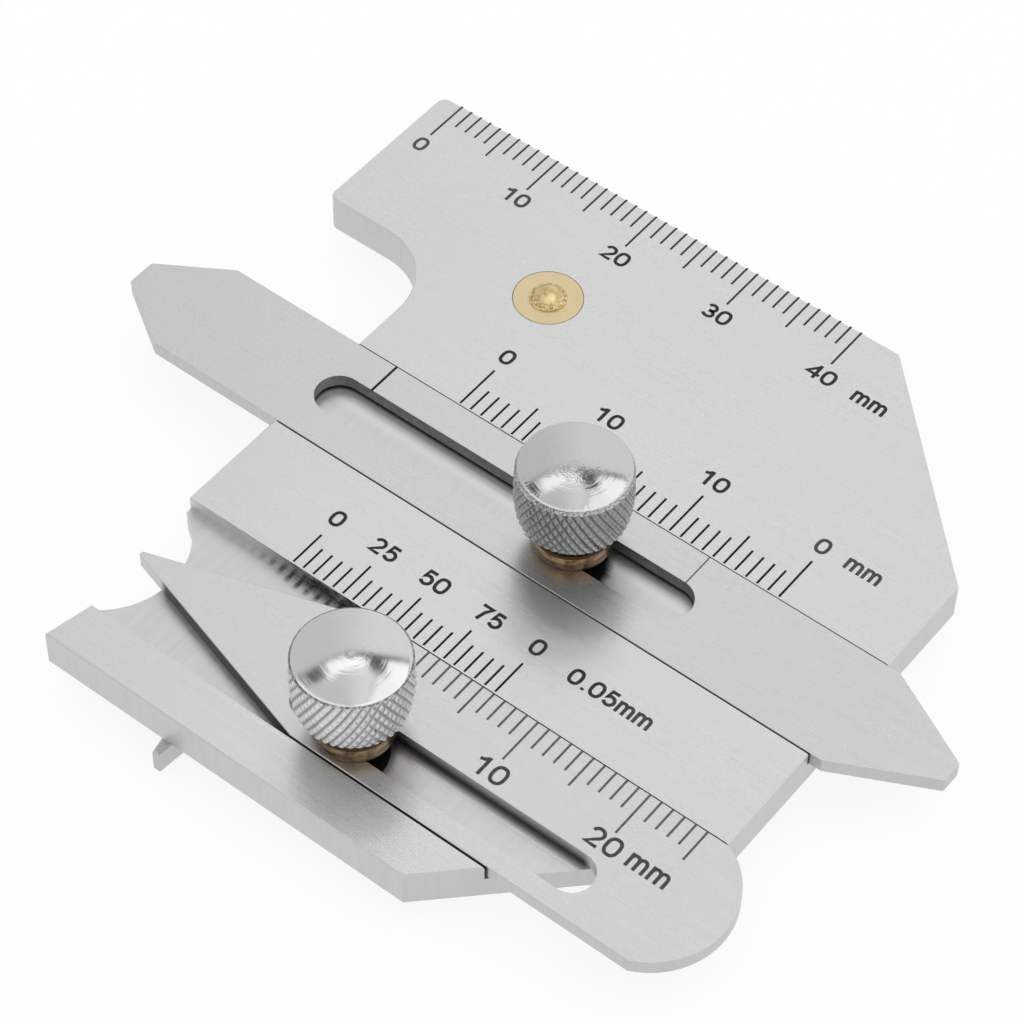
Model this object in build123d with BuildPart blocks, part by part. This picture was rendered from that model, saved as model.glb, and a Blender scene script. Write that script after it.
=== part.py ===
from build123d import *
import os
from math import cos, radians, sin

# A pocket weld gauge, in millimetres.
# Origin: on the pivot rivet's axis, in the back plane of the rear rule, on which the gauge lies.
# +X runs along the scales, +Y towards the edge with the 40 mm scale, +Z up out of the graduated face.

# Rear rule, which turns on the back of the plate
rule_thick = 2.25
rule_gap = 0.05
rule_lean = 3.62
rule_reach = 50.35
rule_tip_width = 0.57
wedge_length = 17.5
wedge_root_width = 6.0
rule_width = 11.0
rule_shoulder = 5.0
rule_corner_round = 2.5
rule_edge_break = 0.15

# Main plate, from the scale edge down: upper land, blade channel, middle land, slider channel, lower bar
plate_thick = 3.6
pivot_below_edge = 12.5
upper_land = 25.55
middle_land = 9.74
lower_bar = 4.02
front_edge_break = 0.12
back_edge_break = 0.25

# Main plate, along the scales
zero_left_of_pivot = 18.6
prong_overhang = 2.06
plate_length = 61.94
jaw_length = 12.11
jaw_depth = 14.8
throat_radius = 5.9
prong_corner_radius = 0.8
top_corner_cut = 16.35
foot_corner_cut = 16.0
bar_foot_setback = 0.3
bar_top_setback = 1.14
relief_radius = 6.64
relief_depth = 3.57
relief_below_middle = 0.3

# Height blade: flat, double pointed, flush in the upper channel
blade_thick = 1.3
blade_width = 9.9
blade_length = 76.93
blade_left_point = 5.8
blade_left_tip_width = 2.5
blade_right_point = 7.8
blade_right_tip_width = 1.9
blade_tip_radius = 0.3
blade_edge_break = 0.04
blade_gap_above = 0.05
blade_gap_below = 0.16
blade_slot_above_foot = 4.9
height_reading = 6.12
blade_travel_left = 8.88
blade_travel_right = 22.54

# Undercut slider: flat, with a needle point and a rounded end, flush in the lower channel
slider_thick = 1.3
slider_width = 11.9
needle_ahead_of_zero = 23.04
needle_upper_run = 18.55
needle_lower_run = 19.85
needle_point_rise = 5.67
needle_tip_radius = 0.25
slider_end_from_zero = 26.91
slider_end_bulge = 3.83
slider_edge_break = 0.05
slider_gap_above = 0.05
slider_gap_below = 0.22
slider_slot_above_foot = 3.35
undercut_reading = 5.92
slider_travel_left = 19.5
slider_travel_right = 3.7

# Fits
under_gap = 0.04
running_gap = 0.05
stop_gap = 0.05

# Locking studs, washers and knobs
upper_stud_x = 16.25
lower_stud_x = 14.6
upper_neck_radius = 1.9
lower_neck_radius = 1.7
stud_thread_radius = 1.5
stud_tail_radius = 2.2
stud_tail_depth = 0.5
stud_neck_drop = 0.05
stud_height = 6.2
stud_chamfer = 0.3
washer_radius = 3.1
washer_height = 1.5
washer_edge_break = 0.12
knob_boss_radius = 2.65
knob_boss_height = 0.15
knob_foot_radius = 2.75
knob_shoulder_radius = 3.72
knob_shoulder_height = 1.0
knob_flank_radius = 4.25
knob_flank_height = 1.7
knob_radius = 4.52
knob_bulge_height = 3.9
knob_rim_radius = 4.42
knob_rim_height = 6.5
knob_rim_chamfer = 0.2
knob_crown = 0.4
knob_crown_bend_radius = 2.6
knob_pip_radius = 0.35
knob_pip_depth = 0.06
knob_bore_depth = 5.6

# Pivot
pivot_shank_radius = 1.2
pivot_disc_radius = 2.8
pivot_disc_thick = 0.9
pivot_disc_seat_gap = 0.05
pivot_foot_radius = 1.5
pivot_foot_height = 0.12
pivot_dome_radius = 1.37
pivot_dome_height = 0.7
pivot_tail_radius = 1.75
spring_washer_radius = 3.1
spring_washer_thick = 0.2
spring_washer_dish = 0.35
spring_seat_gap = 0.1
spring_rest_gap = 0.03

# Graduations, cut as fine shallow grooves
line_width = 0.19
line_depth = 0.05
edge_scale_count = 40
edge_scale_long = 4.23
edge_scale_mid = 3.27
edge_scale_short = 2.24
height_scale_count = 15
height_scale_zero = 20.05
height_scale_long = 4.28
height_scale_mid = 3.31
height_scale_short = 2.33
height_scale_margin = 0.12
vernier_count = 20
vernier_pitch = 0.95
vernier_zero = 20.11
vernier_long = 3.25
vernier_short = 2.25
vernier_margin = 0.15
slider_scale_count = 25
slider_scale_long = 4.12
slider_scale_mid = 2.98
slider_scale_short = 2.12
left_index_width = 0.22
right_index_width = 0.12
index_length = 3.05

# Heights above the plane that the gauge lies on
plate_back = rule_thick + rule_gap
plate_top = plate_back + plate_thick
blade_channel_depth = blade_thick + under_gap
slider_channel_depth = slider_thick + under_gap
spring_top = rule_thick + spring_rest_gap + spring_washer_thick + spring_washer_dish

# Lines across the plate
scale_edge = pivot_below_edge
blade_channel_top = scale_edge - upper_land
blade_top = blade_channel_top - blade_gap_above
blade_middle = blade_top - blade_width / 2
blade_foot = blade_top - blade_width
blade_channel_foot = blade_foot - blade_gap_below
blade_slot_y = blade_foot + blade_slot_above_foot
slider_channel_top = blade_channel_foot - middle_land
slider_top = slider_channel_top - slider_gap_above
slider_middle = slider_top - slider_width / 2
slider_foot = slider_top - slider_width
slider_channel_foot = slider_foot - slider_gap_below
plate_foot = slider_channel_foot - lower_bar
slider_slot_y = slider_foot + slider_slot_above_foot
relief_y = (slider_channel_top + slider_channel_foot) / 2 - relief_below_middle

# Lines along the plate
scale_zero_x = -zero_left_of_pivot
prong_x = scale_zero_x - prong_overhang
land_x = prong_x + jaw_length
plate_right = prong_x + plate_length
jaw_foot = scale_edge - jaw_depth
bar_foot_x = land_x + bar_foot_setback
bar_top_x = land_x + bar_top_setback

# The blade's left tip stands ahead of the prong by the height that its right index line reads
left_zero_x = scale_zero_x + height_scale_zero
right_zero_x = left_zero_x + 2 * height_scale_count
blade_left = prong_x - height_reading
blade_right = blade_left + blade_length
blade_slot_left = upper_stud_x - blade_travel_right - stop_gap
blade_slot_right = upper_stud_x + blade_travel_left + stop_gap
blade_slot_width = 2 * (upper_neck_radius + running_gap)

# The slider's own zero stands left of the vernier's last line by the depth that it reads
vernier_zero_x = scale_zero_x + vernier_zero
slider_zero_x = vernier_zero_x + vernier_count * vernier_pitch - undercut_reading
needle_x = slider_zero_x - needle_ahead_of_zero
slider_end_x = slider_zero_x + slider_end_from_zero
slider_slot_left = lower_stud_x - slider_travel_right - stop_gap
slider_slot_right = lower_stud_x + slider_travel_left + stop_gap
slider_slot_width = 2 * (lower_neck_radius + running_gap)


def graduate(numbers, zero_x, pitch, edge_y, way, length):
    """Draw one line for each number, from edge_y upwards (way 1) or downwards (way -1)."""
    middle_y = edge_y + way * length / 2
    with Locations(*[(zero_x + number * pitch, middle_y) for number in numbers]):
        Rectangle(line_width, length)


def every(step, last):
    """The numbers from 0 to last that step divides."""
    return [number for number in range(last + 1) if number % step == 0]


def others(numbers, last):
    """The numbers from 0 to last that are not in the list."""
    return [number for number in range(last + 1) if number not in numbers]


# Main plate: the outline with its jaw and two cut corners, then channels, notch, seats and scales
with BuildPart() as main_plate:
    with BuildSketch(Plane.XY.offset(plate_back)) as plate_outline:
        with BuildLine():
            Polyline(
                (prong_x, scale_edge),
                (plate_right - top_corner_cut, scale_edge),
                (plate_right, scale_edge - top_corner_cut),
                (plate_right, plate_foot + foot_corner_cut),
                (plate_right - foot_corner_cut, plate_foot),
                (bar_foot_x, plate_foot),
                (bar_top_x, slider_channel_foot),
                (land_x, slider_channel_top),
                (land_x, jaw_foot),
                (prong_x, jaw_foot),
                close=True,
            )
        make_face()
        fillet(plate_outline.vertices().group_by(Axis.X)[0], prong_corner_radius)
        throat = plate_outline.vertices().sort_by_distance((land_x, jaw_foot, plate_back))[0]
        fillet(throat, throat_radius)
    extrude(amount=plate_thick)
    chamfer(main_plate.edges().group_by(Axis.Z)[0], back_edge_break)
    chamfer(main_plate.edges().group_by(Axis.Z)[-1], front_edge_break)

    with BuildSketch(Plane.XY.offset(plate_top)):
        with Locations(((prong_x + plate_right) / 2, (blade_channel_top + blade_channel_foot) / 2)):
            Rectangle(2 * plate_length, blade_channel_top - blade_channel_foot)
    extrude(amount=-blade_channel_depth, mode=Mode.SUBTRACT)
    with BuildSketch(Plane.XY.offset(plate_top)):
        with Locations(((prong_x + plate_right) / 2, (slider_channel_top + slider_channel_foot) / 2)):
            Rectangle(2 * plate_length, slider_channel_top - slider_channel_foot)
    extrude(amount=-slider_channel_depth, mode=Mode.SUBTRACT)

    with BuildSketch(Plane.XY.offset(plate_back)):
        with Locations((land_x + relief_depth - relief_radius, relief_y)):
            Circle(relief_radius)
    extrude(amount=plate_thick, mode=Mode.SUBTRACT)

    for stud_x, stud_y, neck_radius in (
        (upper_stud_x, blade_slot_y, upper_neck_radius),
        (lower_stud_x, slider_slot_y, lower_neck_radius),
    ):
        with Locations((stud_x, stud_y, plate_back)):
            Cylinder(neck_radius, plate_thick, align=(Align.CENTER, Align.CENTER, Align.MIN), mode=Mode.SUBTRACT)
            Cone(
                stud_tail_radius,
                neck_radius,
                stud_tail_depth,
                align=(Align.CENTER, Align.CENTER, Align.MIN),
                mode=Mode.SUBTRACT,
            )
    with Locations((0, 0, plate_back)):
        Cylinder(pivot_shank_radius, plate_thick, align=(Align.CENTER, Align.CENTER, Align.MIN), mode=Mode.SUBTRACT)
        Cylinder(
            spring_washer_radius + spring_seat_gap,
            spring_top - plate_back,
            align=(Align.CENTER, Align.CENTER, Align.MIN),
            mode=Mode.SUBTRACT,
        )
    with Locations((0, 0, plate_top)):
        Cylinder(
            pivot_disc_radius + pivot_disc_seat_gap,
            pivot_disc_thick,
            align=(Align.CENTER, Align.CENTER, Align.MAX),
            mode=Mode.SUBTRACT,
        )

    with BuildSketch(Plane.XY.offset(plate_top)):
        tens = every(10, edge_scale_count)
        fives = [number for number in every(5, edge_scale_count) if number not in tens]
        ones = others(every(5, edge_scale_count), edge_scale_count)
        graduate(tens, scale_zero_x, 1, scale_edge, -1, edge_scale_long)
        graduate(fives, scale_zero_x, 1, scale_edge, -1, edge_scale_mid)
        graduate(ones, scale_zero_x, 1, scale_edge, -1, edge_scale_short)
    extrude(amount=-line_depth, mode=Mode.SUBTRACT)

    with BuildSketch(Plane.XY.offset(plate_top)):
        height_edge = blade_channel_top + height_scale_margin
        half = height_scale_count
        tens = [number for number in range(2 * half + 1) if (half - abs(number - half)) % 10 == 0]
        fives = [number for number in every(5, 2 * half) if number not in tens]
        ones = others(tens + fives, 2 * half)
        graduate(tens, left_zero_x, 1, height_edge, 1, height_scale_long)
        graduate(fives, left_zero_x, 1, height_edge, 1, height_scale_mid)
        graduate(ones, left_zero_x, 1, height_edge, 1, height_scale_short)
    extrude(amount=-line_depth, mode=Mode.SUBTRACT)

    with BuildSketch(Plane.XY.offset(plate_top)):
        vernier_edge = slider_channel_top + vernier_margin
        fives = every(5, vernier_count)
        ones = others(fives, vernier_count)
        graduate(fives, vernier_zero_x, vernier_pitch, vernier_edge, 1, vernier_long)
        graduate(ones, vernier_zero_x, vernier_pitch, vernier_edge, 1, vernier_short)
    extrude(amount=-line_depth, mode=Mode.SUBTRACT)

# Height blade: pointed at both ends, with a long slot for the stud and two index lines
with BuildPart() as height_blade:
    with BuildSketch(Plane.XY.offset(plate_top)) as blade_outline:
        with BuildLine():
            Polyline(
                (blade_left, blade_middle - blade_left_tip_width / 2),
                (blade_left, blade_middle + blade_left_tip_width / 2),
                (blade_left + blade_left_point, blade_top),
                (blade_right - blade_right_point, blade_top),
                (blade_right, blade_middle + blade_right_tip_width / 2),
                (blade_right, blade_middle - blade_right_tip_width / 2),
                (blade_right - blade_right_point, blade_foot),
                (blade_left + blade_left_point, blade_foot),
                close=True,
            )
        make_face()
        fillet(blade_outline.vertices().group_by(Axis.X)[0], blade_tip_radius)
        fillet(blade_outline.vertices().group_by(Axis.X)[-1], blade_tip_radius)
    extrude(amount=-blade_thick)
    chamfer(height_blade.edges().group_by(Axis.Z)[-1], blade_edge_break)
    chamfer(height_blade.edges().group_by(Axis.Z)[0], blade_edge_break)
    with BuildSketch(Plane.XY.offset(plate_top)):
        with Locations(((blade_slot_left + blade_slot_right) / 2, blade_slot_y)):
            SlotCenterToCenter(blade_slot_right - blade_slot_left, blade_slot_width)
    extrude(amount=-blade_thick, mode=Mode.SUBTRACT)
    with BuildSketch(Plane.XY.offset(plate_top)):
        with Locations((left_zero_x - height_reading, blade_top - index_length / 2)):
            Rectangle(left_index_width, index_length)
        with Locations((right_zero_x - height_reading, blade_top - index_length / 2)):
            Rectangle(right_index_width, index_length)
    extrude(amount=-line_depth, mode=Mode.SUBTRACT)

# Undercut slider: needle point, rounded end, slot and a millimetre scale read against the vernier
with BuildPart() as undercut_slider:
    with BuildSketch(Plane.XY.offset(plate_top)) as slider_outline:
        with BuildLine():
            Polyline(
                (slider_end_x, slider_foot),
                (needle_x + needle_lower_run, slider_foot),
                (needle_x, slider_foot + needle_point_rise),
                (needle_x + needle_upper_run, slider_top),
                (slider_end_x, slider_top),
            )
            ThreePointArc(
                (slider_end_x, slider_top),
                (slider_end_x + slider_end_bulge, slider_middle),
                (slider_end_x, slider_foot),
            )
        make_face()
        fillet(slider_outline.vertices().sort_by(Axis.X)[0], needle_tip_radius)
    extrude(amount=-slider_thick)
    chamfer(undercut_slider.edges().group_by(Axis.Z)[-1], slider_edge_break)
    chamfer(undercut_slider.edges().group_by(Axis.Z)[0], slider_edge_break)
    with BuildSketch(Plane.XY.offset(plate_top)):
        with Locations(((slider_slot_left + slider_slot_right) / 2, slider_slot_y)):
            SlotCenterToCenter(slider_slot_right - slider_slot_left, slider_slot_width)
    extrude(amount=-slider_thick, mode=Mode.SUBTRACT)
    with BuildSketch(Plane.XY.offset(plate_top)):
        tens = every(10, slider_scale_count)
        fives = [number for number in every(5, slider_scale_count) if number not in tens]
        ones = others(tens + fives, slider_scale_count)
        graduate(tens, slider_zero_x, 1, slider_top, -1, slider_scale_long)
        graduate(fives, slider_zero_x, 1, slider_top, -1, slider_scale_mid)
        graduate(ones, slider_zero_x, 1, slider_top, -1, slider_scale_short)
    extrude(amount=-line_depth, mode=Mode.SUBTRACT)

# Rear rule: a round head on the pivot, a parallel body, and a gap wedge that narrows to a blunt tip
rule_plane = Plane((0, 0, 0), x_dir=(sin(radians(rule_lean)), -cos(radians(rule_lean)), 0), z_dir=(0, 0, 1))
with BuildPart() as rear_rule:
    with BuildSketch(rule_plane) as rule_outline:
        with BuildLine():
            Polyline(
                (0, rule_width / 2),
                (rule_reach - wedge_length - rule_shoulder, rule_width / 2),
                (rule_reach - wedge_length, wedge_root_width / 2),
                (rule_reach, rule_tip_width / 2),
                (rule_reach, -rule_tip_width / 2),
                (rule_reach - wedge_length, -wedge_root_width / 2),
                (rule_reach - wedge_length - rule_shoulder, -rule_width / 2),
                (0, -rule_width / 2),
            )
            ThreePointArc((0, -rule_width / 2), (-rule_width / 2, 0), (0, rule_width / 2))
        make_face()
        fillet(rule_outline.vertices().sort_by_distance((0, 0, 0))[2:6], rule_corner_round)
    extrude(amount=rule_thick)
    chamfer(rear_rule.edges().group_by(Axis.Z)[-1], rule_edge_break)
    chamfer(rear_rule.edges().group_by(Axis.Z)[0], rule_edge_break)
    with Locations((0, 0, 0)):
        Cylinder(
            pivot_shank_radius + running_gap,
            rule_thick,
            align=(Align.CENTER, Align.CENTER, Align.MIN),
            mode=Mode.SUBTRACT,
        )
        Cylinder(
            pivot_disc_radius + running_gap,
            pivot_disc_thick + running_gap,
            align=(Align.CENTER, Align.CENTER, Align.MIN),
            mode=Mode.SUBTRACT,
        )

# Pivot rivet: one turned piece, domed at the front and spread flush at the back
with BuildPart() as pivot_rivet:
    with BuildSketch(Plane.XZ):
        with BuildLine():
            dome_foot = plate_top + pivot_foot_height
            dome_top = dome_foot + pivot_dome_height
            dome_round = (pivot_dome_radius**2 + pivot_dome_height**2) / (2 * pivot_dome_height)
            Polyline(
                (0, dome_top),
                (0, 0),
                (pivot_tail_radius, 0),
                (pivot_shank_radius, pivot_disc_thick),
                (pivot_shank_radius, plate_top),
                (pivot_foot_radius, plate_top),
                (pivot_foot_radius, dome_foot),
                (pivot_dome_radius, dome_foot),
            )
            RadiusArc((0, dome_top), (pivot_dome_radius, dome_foot), dome_round)
        make_face()
    revolve(axis=Axis.Z)

# Pivot disc: flush in its seat in the graduated face, under the rivet's head
with BuildPart() as pivot_disc:
    with BuildSketch(Plane.XY.offset(plate_top)):
        Circle(pivot_disc_radius)
        Circle(pivot_shank_radius, mode=Mode.SUBTRACT)
    extrude(amount=-pivot_disc_thick)

# Pivot back washer: flush in the rule's back, countersunk for the rivet's tail
with BuildPart() as pivot_back_washer:
    with BuildSketch(Plane.XZ):
        with BuildLine():
            Polyline(
                (pivot_tail_radius, 0),
                (pivot_disc_radius, 0),
                (pivot_disc_radius, pivot_disc_thick),
                (pivot_shank_radius, pivot_disc_thick),
                close=True,
            )
        make_face()
    revolve(axis=Axis.Z)

# Pivot spring washer: thin and dished, in its seat in the plate's back, bearing on the rule
with BuildPart() as pivot_spring_washer:
    with BuildSketch(Plane.XZ):
        with BuildLine():
            Polyline(
                (pivot_shank_radius + running_gap, spring_top),
                (spring_washer_radius, spring_top - spring_washer_dish),
                (spring_washer_radius, spring_top - spring_washer_dish - spring_washer_thick),
                (pivot_shank_radius + running_gap, spring_top - spring_washer_thick),
                close=True,
            )
        make_face()
    revolve(axis=Axis.Z)


def locking_stud(x, y, neck_radius):
    """A turned stud at (x, y): tail spread flush in the plate's back, neck for the slot, threaded top."""
    with BuildPart() as stud:
        with BuildSketch(Plane((x, y, 0), x_dir=(1, 0, 0), z_dir=(0, -1, 0))):
            with BuildLine():
                neck_top = plate_top - stud_neck_drop
                stud_top = plate_top + stud_height
                Polyline(
                    (0, plate_back),
                    (stud_tail_radius, plate_back),
                    (neck_radius, plate_back + stud_tail_depth),
                    (neck_radius, neck_top),
                    (stud_thread_radius, neck_top),
                    (stud_thread_radius, stud_top - stud_chamfer),
                    (stud_thread_radius - stud_chamfer, stud_top),
                    (0, stud_top),
                    close=True,
                )
            make_face()
        revolve(axis=Axis((x, y, 0), (0, 0, 1)))
    return stud


def thick_washer(x, y):
    """A thick brass washer at (x, y), standing on the graduated face."""
    with BuildPart() as washer:
        with BuildSketch(Plane.XY.offset(plate_top)):
            with Locations((x, y)):
                Circle(washer_radius)
                Circle(stud_thread_radius + running_gap, mode=Mode.SUBTRACT)
        extrude(amount=washer_height)
        upper_rims = washer.edges().filter_by(GeomType.CIRCLE).group_by(Axis.Z)[-1]
        chamfer(upper_rims.sort_by(SortBy.RADIUS)[-1], washer_edge_break)
    return washer


def locking_knob(x, y):
    """A blind locking knob at (x, y): boss, side that swells in three stages, rim and low domed crown."""
    with BuildPart() as knob:
        with BuildSketch(Plane((x, y, 0), x_dir=(1, 0, 0), z_dir=(0, -1, 0))):
            with BuildLine():
                boss_z = plate_top + washer_height
                foot_z = boss_z + knob_boss_height
                rim_z = foot_z + knob_rim_height
                crown_r = knob_rim_radius - knob_rim_chamfer
                crown_z = rim_z + knob_rim_chamfer
                pip_z = crown_z + knob_crown
                bend_z = pip_z - knob_crown * (knob_crown_bend_radius / crown_r) ** 2
                bore_r = stud_thread_radius + running_gap
                Polyline(
                    (0, boss_z + knob_bore_depth),
                    (bore_r, boss_z + knob_bore_depth),
                    (bore_r, boss_z),
                    (knob_boss_radius, boss_z),
                    (knob_boss_radius, foot_z),
                    (knob_foot_radius, foot_z),
                    (knob_shoulder_radius, foot_z + knob_shoulder_height),
                    (knob_flank_radius, foot_z + knob_flank_height),
                    (knob_radius, foot_z + knob_bulge_height),
                    (knob_rim_radius, rim_z),
                    (crown_r, crown_z),
                    (knob_crown_bend_radius, bend_z),
                    (knob_pip_radius, pip_z),
                    (knob_pip_radius, pip_z - knob_pip_depth),
                    (0, pip_z - knob_pip_depth),
                    (0, boss_z + knob_bore_depth),
                )
            make_face()
        revolve(axis=Axis((x, y, 0), (0, 0, 1)))
    return knob


upper_stud = locking_stud(upper_stud_x, blade_slot_y, upper_neck_radius)
lower_stud = locking_stud(lower_stud_x, slider_slot_y, lower_neck_radius)
upper_washer = thick_washer(upper_stud_x, blade_slot_y)
lower_washer = thick_washer(lower_stud_x, slider_slot_y)
upper_knob = locking_knob(upper_stud_x, blade_slot_y)
lower_knob = locking_knob(lower_stud_x, slider_slot_y)

pieces = {
    "main_plate": main_plate,
    "height_blade": height_blade,
    "undercut_slider": undercut_slider,
    "rear_rule": rear_rule,
    "pivot_rivet": pivot_rivet,
    "pivot_disc": pivot_disc,
    "pivot_back_washer": pivot_back_washer,
    "pivot_spring_washer": pivot_spring_washer,
    "upper_stud": upper_stud,
    "lower_stud": lower_stud,
    "upper_washer": upper_washer,
    "lower_washer": lower_washer,
    "upper_knob": upper_knob,
    "lower_knob": lower_knob,
}
os.makedirs("parts", exist_ok=True)
for name, piece in pieces.items():
    piece.part.label = name
    export_step(piece.part, f"parts/{name}.step")
    print(name, round(piece.part.volume, 2), "mm3")
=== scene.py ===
# %% [markdown]
# # A pocket weld gauge, dressed for its picture
# The solids of the gauge come from the CAD model and stay as they are.
# This lesson gives each of them a finish, cuts the diamond knurl that is too fine for the CAD model,
# fills the graduations with black and writes the numbers beside them.
# Everything is in metres, and MM turns the drawing's millimetres into metres.

import bpy
import numpy as np
from mathutils import Matrix, Vector


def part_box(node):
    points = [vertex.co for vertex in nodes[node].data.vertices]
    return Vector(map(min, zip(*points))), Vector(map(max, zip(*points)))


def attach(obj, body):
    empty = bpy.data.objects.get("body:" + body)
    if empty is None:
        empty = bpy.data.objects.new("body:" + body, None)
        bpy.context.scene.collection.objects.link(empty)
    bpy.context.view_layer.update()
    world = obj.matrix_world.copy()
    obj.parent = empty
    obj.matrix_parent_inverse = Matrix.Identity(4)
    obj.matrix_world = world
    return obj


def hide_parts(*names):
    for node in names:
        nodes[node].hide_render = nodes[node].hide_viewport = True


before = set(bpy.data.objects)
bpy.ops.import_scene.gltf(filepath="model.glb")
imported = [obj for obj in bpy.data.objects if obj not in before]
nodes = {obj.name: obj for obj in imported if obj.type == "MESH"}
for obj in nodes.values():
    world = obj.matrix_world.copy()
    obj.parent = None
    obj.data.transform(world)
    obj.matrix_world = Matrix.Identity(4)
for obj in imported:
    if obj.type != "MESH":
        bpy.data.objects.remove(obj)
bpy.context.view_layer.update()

MM = 0.001
print("solids:", ", ".join(sorted(nodes)))

# %% [markdown]
# ## Where things are
# The scales were engraved in the CAD model, so the black fill and the numbers are placed from the same
# drawing sizes, read here once more. The boxes of the solids give the heights, so nothing is fitted by eye.

# %% Sizes taken from the drawing
PLATE_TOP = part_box("main_plate")[1][2] / MM
SCALE_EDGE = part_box("main_plate")[1][1] / MM
BLADE_THICK = PLATE_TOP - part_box("height_blade")[0][2] / MM
CHANNEL_FLOOR = PLATE_TOP - BLADE_THICK
UPPER_CHANNEL = (-23.16, -13.05)  # y of its lower and its upper wall
LOWER_CHANNEL = (-45.07, -32.9)
SCALE_ZERO = -18.6
HEIGHT_ZERO = SCALE_ZERO + 20.05
VERNIER_ZERO = SCALE_ZERO + 20.11
VERNIER_PITCH = 0.95
HEIGHT_READING = 6.12
UNDERCUT_READING = 5.92
SLIDER_ZERO = VERNIER_ZERO + 20 * VERNIER_PITCH - UNDERCUT_READING
LINE_WIDTH = 0.19
LINE_DEPTH = 0.05
UPPER_STUD = np.array([16.25, -18.1])
LOWER_STUD = np.array([14.6, -41.5])
print("graduated face at", round(PLATE_TOP, 3), "mm, scale edge at", round(SCALE_EDGE, 3), "mm")
print("blade", round(BLADE_THICK, 2), "mm thick")

# %% [markdown]
# ## Shader maths written as Python
# A procedural material is a small sum worked out at every point of a surface.
# Wire wraps a socket, so that such a sum can be written as wire * 2 + 1, and each sign adds its Math node.
# Finish holds the nodes of one material, or of the world, and its add method makes any other node.

# %% Sockets that can be added and multiplied, and a place for their nodes


class Wire:
    """A shader socket that takes part in sums: each operator adds the Math node that does it."""

    def __init__(self, finish, socket):
        self.finish = finish
        self.socket = socket

    def math(self, operation, *others):
        """Adds the Math node of that operation, with this wire as its first number."""
        return self.finish.add("Math", {"operation": operation}, dict(enumerate((self, *others))))

    def __add__(self, other):
        return self.math("ADD", other)

    def __radd__(self, other):
        return self.math("ADD", other)

    def __sub__(self, other):
        return self.math("SUBTRACT", other)

    def __rsub__(self, other):
        return self.finish.add("Math", {"operation": "SUBTRACT"}, {0: other, 1: self})

    def __mul__(self, other):
        return self.math("MULTIPLY", other)

    def __rmul__(self, other):
        return self.math("MULTIPLY", other)

    def __truediv__(self, other):
        return self.math("DIVIDE", other)

    def __pow__(self, other):
        return self.math("POWER", other)

    def __gt__(self, other):
        return self.math("GREATER_THAN", other)

    def __lt__(self, other):
        return self.math("LESS_THAN", other)

    def __abs__(self):
        return self.math("ABSOLUTE")

    def most(self, other):
        """The larger of the two."""
        return self.math("MAXIMUM", other)

    def ramp(self, low, high, start=0.0, end=1.0):
        """Rises smoothly from start to end while the wire goes from low to high."""
        return self.finish.add(
            "MapRange",
            {"interpolation_type": "SMOOTHSTEP"},
            {"Value": self, "From Min": low, "From Max": high, "To Min": start, "To Max": end},
        )


class Finish:
    """The nodes of a new material, or of a new world where shelf is bpy.data.worlds."""

    def __init__(self, name, shelf=None):
        self.owner = (bpy.data.materials if shelf is None else shelf).new(name)
        self.owner.use_nodes = True
        self.tree = self.owner.node_tree
        self.shader = self.tree.nodes.get("Principled BSDF")

    def feed(self, socket, value):
        """Links a Wire into a socket, or sets the socket's own value."""
        if isinstance(value, Wire):
            self.tree.links.new(value.socket, socket)
        else:
            socket.default_value = value

    def add(self, kind, settings=None, sockets=None, out=0):
        """Makes a node, sets it up, links or sets its sockets, and returns one output as a Wire."""
        node = self.tree.nodes.new("ShaderNode" + kind)
        for name, value in (settings or {}).items():
            setattr(node, name, value)
        for name, value in (sockets or {}).items():
            self.feed(node.inputs[name], value)
        return Wire(self, node.outputs[out])

    def split(self, vector):
        """The x, y and z of a vector."""
        node = self.add("SeparateXYZ", sockets={0: vector}).socket.node
        return [Wire(self, node.outputs[axis]) for axis in "XYZ"]

    def place(self):
        """The point's place on the drawing, in millimetres: x, y and z."""
        point = self.add("TexCoord", out="Object")
        return self.split(self.add("VectorMath", {"operation": "SCALE"}, {0: point, "Scale": 1 / MM}))

    def facing(self):
        """The outward direction of the surface: x, y and z, from -1 to 1."""
        return self.split(self.add("TexCoord", out="Normal"))

    def streaks(self, x, y, z, detail=2.0, rough=0.5):
        """Noise from 0 to 1 over a point whose three coordinates are stretched as wanted."""
        point = self.add("CombineXYZ", sockets={"X": x, "Y": y, "Z": z})
        return self.add(
            "TexNoise", sockets={"Vector": point, "Scale": 1.0, "Detail": detail, "Roughness": rough}
        )

    def between(self, share, first, second):
        """A colour that goes from first to second as share goes from 0 to 1."""
        return self.add(
            "Mix", {"data_type": "RGBA"}, {"Factor": share, "A": first, "B": second}, out="Result"
        )

    def grey(self, value):
        """A colour with that much of red, green and blue alike."""
        return self.add("CombineColor", sockets={"Red": value, "Green": value, "Blue": value})

    def shade(self, **sockets):
        """Sets or feeds the shader's own sockets, which are named with _ for each space."""
        for name, value in sockets.items():
            self.feed(self.shader.inputs[name.replace("_", " ")], value)

    def relief(self, height, depth):
        """Bumps of that depth in metres, from a height that goes from 0 to 1."""
        sockets = {"Height": height, "Distance": depth, "Strength": 1.0}
        bump = self.add("Bump", sockets=sockets, out="Normal")
        self.feed(self.shader.inputs["Normal"], bump)


def dress(finish, *names):
    """Gives the CAD nodes with these names that finish, in the slot that they already have."""
    for name in names:
        data = nodes[name].data
        data.materials.clear()
        data.materials.append(finish.owner)
    print(finish.owner.name, "on", ", ".join(names))


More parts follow.
